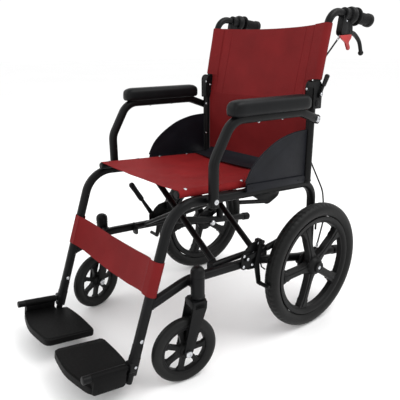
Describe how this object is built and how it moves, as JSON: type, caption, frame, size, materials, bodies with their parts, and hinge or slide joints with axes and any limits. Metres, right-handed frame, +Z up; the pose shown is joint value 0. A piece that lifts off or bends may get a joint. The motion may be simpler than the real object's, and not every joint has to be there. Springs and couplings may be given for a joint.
{
  "type": "transport wheelchair",
  "caption": "Folding attendant-pushed wheelchair: tube side frames on a cross brace, sling seat and half-folding back, push handles with brakes, spoked rear wheels and swivelling front casters.",
  "frame": {"origin": "on the floor, at the middle of the footprint", "axes": "+Z up; the chair faces -Y, so the push handles point to +Y; +X is the occupant's left"},
  "size_m": [0.624, 1.0222, 0.9694],
  "materials": {
    "frame_paint": "satin black powder coat",
    "lever_paint": "semi-gloss black paint",
    "bolt_steel": "bright zinc plate",
    "black_plastic": "moulded, fine texture",
    "wheel_plastic": "glass-filled nylon, fine texture",
    "footplate_plastic": "moulded with grip ribs",
    "guard_plastic": "smooth moulded panel",
    "armrest_pad": "self-skinned polyurethane foam",
    "grip_rubber": "ribbed soft rubber",
    "rear_tyre": "solid tyre with ribbed tread",
    "caster_tyre": "solid tyre, smooth",
    "red_plastic": "moulded red plastic",
    "cable_sheath": "vinyl sheath",
    "seat_fabric": "coated woven nylon",
    "back_fabric": "coated woven nylon",
    "strap_fabric": "coated woven nylon",
    "webbing": "woven polypropylene webbing"
  },
  "bodies": {
    "frame_right": {"side_frame_right": "frame_paint", "tipping_cap_right": "grip_rubber", "footrest_hanger_right": "frame_paint", "armrest_tube_right": "frame_paint", "armrest_pivot_bolt_right": "bolt_steel", "armrest_pad_right": "armrest_pad", "skirt_guard_right": "guard_plastic", "back_hinge_housing_right": "black_plastic", "brake_cable_right": "cable_sheath", "rear_axle_right": "bolt_steel", "hub_brake_right": "lever_paint", "parking_brake_bracket_right": "lever_paint", "back_sling": "back_fabric", "calf_strap": "strap_fabric", "lap_belt": "webbing"},
    "frame_left": {"side_frame_left": "frame_paint", "tipping_cap_left": "grip_rubber", "footrest_hanger_left": "frame_paint", "armrest_tube_left": "frame_paint", "armrest_pivot_bolt_left": "bolt_steel", "armrest_pad_left": "armrest_pad", "skirt_guard_left": "guard_plastic", "back_hinge_housing_left": "black_plastic", "brake_cable_left": "cable_sheath", "rear_axle_left": "bolt_steel", "hub_brake_left": "lever_paint", "parking_brake_bracket_left": "lever_paint"},
    "brace_b": {"cross_brace_b": "frame_paint", "seat_sling": "seat_fabric"},
    "brace_a": {"cross_brace_a": "frame_paint"},
    "footplate_left": {"footplate_left": "footplate_plastic"},
    "back_left": {"back_cane_left": "frame_paint", "hand_grip_left": "grip_rubber", "brake_perch_left": "black_plastic"},
    "brake_lever_left": {"brake_lever_left": "lever_paint"},
    "lock_lever_left": {"brake_lock_lever_left": "red_plastic"},
    "release_lever_left": {"back_release_lever_left": "lever_paint"},
    "rear_wheel_left": {"rear_tyre_left": "rear_tyre", "rear_wheel_left": "wheel_plastic"},
    "caster_swivel_left": {"caster_fork_left": "frame_paint", "caster_axle_left": "bolt_steel"},
    "caster_wheel_left": {"caster_tyre_left": "caster_tyre", "caster_rim_left": "wheel_plastic"},
    "parking_lever_left": {"parking_brake_lever_left": "black_plastic"},
    "parking_shoe_left": {"parking_brake_shoe_left": "bolt_steel"},
    "footplate_right": {"footplate_right": "footplate_plastic"},
    "back_right": {"back_cane_right": "frame_paint", "hand_grip_right": "grip_rubber", "brake_perch_right": "black_plastic"},
    "brake_lever_right": {"brake_lever_right": "lever_paint"},
    "lock_lever_right": {"brake_lock_lever_right": "red_plastic"},
    "release_lever_right": {"back_release_lever_right": "lever_paint"},
    "rear_wheel_right": {"rear_tyre_right": "rear_tyre", "rear_wheel_right": "wheel_plastic"},
    "caster_swivel_right": {"caster_fork_right": "frame_paint", "caster_axle_right": "bolt_steel"},
    "caster_wheel_right": {"caster_tyre_right": "caster_tyre", "caster_rim_right": "wheel_plastic"},
    "parking_lever_right": {"parking_brake_lever_right": "black_plastic"},
    "parking_shoe_right": {"parking_brake_shoe_right": "bolt_steel"}
  },
  "joints": [
    {"name": "fold", "type": "hinge", "parent": "frame_right", "child": "brace_b", "pos_m": [-0.202, 0.01, 0.276], "axis": [0, -1, 0], "range_deg": [0, 38], "deforming": ["seat_sling", "back_sling", "calf_strap", "lap_belt"]},
    {"name": "brace_pivot", "type": "hinge", "parent": "brace_b", "child": "brace_a", "pos_m": [0, 0.01, 0.38124], "axis": [0, -1, 0], "range_deg": [-76, 0]},
    {"name": "left_frame_hinge", "type": "hinge", "parent": "brace_a", "child": "frame_left", "pos_m": [0.202, 0.01, 0.276], "axis": [0, -1, 0], "range_deg": [0, 38]},
    {"name": "footplate_flip_left", "type": "hinge", "parent": "frame_left", "child": "footplate_left", "pos_m": [0.226, -0.371, 0.089], "axis": [0, 0.9877, -0.1564], "range_deg": [0, 91.2]},
    {"name": "footplate_flip_right", "type": "hinge", "parent": "frame_right", "child": "footplate_right", "pos_m": [-0.226, -0.371, 0.089], "axis": [0, -0.9877, 0.1564], "range_deg": [0, 91.2]},
    {"name": "back_fold_right", "type": "hinge", "parent": "frame_right", "child": "back_right", "pos_m": [-0.241, 0.261, 0.706], "axis": [-1, 0, 0], "range_deg": [0, 90], "deforming": ["back_sling", "brake_cable_right", "brake_cable_left"]},
    {"name": "back_fold_left", "type": "hinge", "parent": "frame_left", "child": "back_left", "pos_m": [0.241, 0.261, 0.706], "axis": [-1, 0, 0], "range_deg": [0, 90]},
    {"name": "back_release_left", "type": "hinge", "parent": "frame_left", "child": "release_lever_left", "pos_m": [0.262, 0.268, 0.732], "axis": [-1, 0, 0], "range_deg": [0, 18], "stiffness_Nm_per_rad": 0.5},
    {"name": "brake_squeeze_left", "type": "hinge", "parent": "back_left", "child": "brake_lever_left", "pos_m": [0.241, 0.401, 0.905], "axis": [1, 0, 0], "range_deg": [0, 20], "stiffness_Nm_per_rad": 1},
    {"name": "brake_lock_left", "type": "hinge", "parent": "back_left", "child": "lock_lever_left", "pos_m": [0.253, 0.388, 0.899], "axis": [1, 0, 0], "range_deg": [0, 60]},
    {"name": "rear_wheel_spin_left", "type": "hinge", "parent": "frame_left", "child": "rear_wheel_left", "pos_m": [0.28, 0.261, 0.203], "axis": [1, 0, 0], "continuous": true},
    {"name": "back_release_right", "type": "hinge", "parent": "frame_right", "child": "release_lever_right", "pos_m": [-0.262, 0.268, 0.732], "axis": [-1, 0, 0], "range_deg": [0, 18], "stiffness_Nm_per_rad": 0.5},
    {"name": "brake_squeeze_right", "type": "hinge", "parent": "back_right", "child": "brake_lever_right", "pos_m": [-0.241, 0.401, 0.905], "axis": [1, 0, 0], "range_deg": [0, 20], "stiffness_Nm_per_rad": 1},
    {"name": "brake_lock_right", "type": "hinge", "parent": "back_right", "child": "lock_lever_right", "pos_m": [-0.253, 0.388, 0.899], "axis": [1, 0, 0], "range_deg": [0, 60]},
    {"name": "rear_wheel_spin_right", "type": "hinge", "parent": "frame_right", "child": "rear_wheel_right", "pos_m": [-0.28, 0.261, 0.203], "axis": [1, 0, 0], "continuous": true},
    {"name": "caster_swivel_left", "type": "hinge", "parent": "frame_left", "child": "caster_swivel_left", "pos_m": [0.264, -0.188, 0.27], "axis": [0, 0, 1], "continuous": true},
    {"name": "caster_spin_left", "type": "hinge", "parent": "caster_swivel_left", "child": "caster_wheel_left", "pos_m": [0.25707, -0.22942, 0.094], "axis": [0.9863, -0.165, 0], "continuous": true},
    {"name": "caster_swivel_right", "type": "hinge", "parent": "frame_right", "child": "caster_swivel_right", "pos_m": [-0.264, -0.188, 0.27], "axis": [0, 0, 1], "continuous": true},
    {"name": "caster_spin_right", "type": "hinge", "parent": "caster_swivel_right", "child": "caster_wheel_right", "pos_m": [-0.25384, -0.22875, 0.094], "axis": [0.9703, 0.2419, 0], "continuous": true},
    {"name": "parking_lever_left", "type": "hinge", "parent": "frame_left", "child": "parking_lever_left", "pos_m": [0.248, 0.005, 0.285], "axis": [1, 0, 0], "range_deg": [0, 113]},
    {"name": "parking_lever_right", "type": "hinge", "parent": "frame_right", "child": "parking_lever_right", "pos_m": [-0.248, 0.005, 0.285], "axis": [1, 0, 0], "range_deg": [-113, 0]},
    {"name": "parking_shoe_left", "type": "hinge", "parent": "frame_left", "child": "parking_shoe_left", "pos_m": [0.253, 0.039, 0.262], "axis": [1, 0, 0], "range_deg": [-22, 0]},
    {"name": "parking_shoe_right", "type": "hinge", "parent": "frame_right", "child": "parking_shoe_right", "pos_m": [-0.253, 0.039, 0.262], "axis": [1, 0, 0], "range_deg": [0, 22]}
  ],
  "couplings": [
    {"joint": "brace_pivot", "follows": "fold", "ratio": -2},
    {"joint": "left_frame_hinge", "follows": "fold", "ratio": 1},
    {"joint": "footplate_flip_left", "follows": "fold", "ratio": 2.4},
    {"joint": "footplate_flip_right", "follows": "fold", "ratio": 2.4},
    {"joint": "back_fold_left", "follows": "back_fold_right", "ratio": 1},
    {"joint": "parking_shoe_left", "follows": "parking_lever_left", "ratio": -0.19469},
    {"joint": "parking_shoe_right", "follows": "parking_lever_right", "ratio": -0.19469}
  ]
}
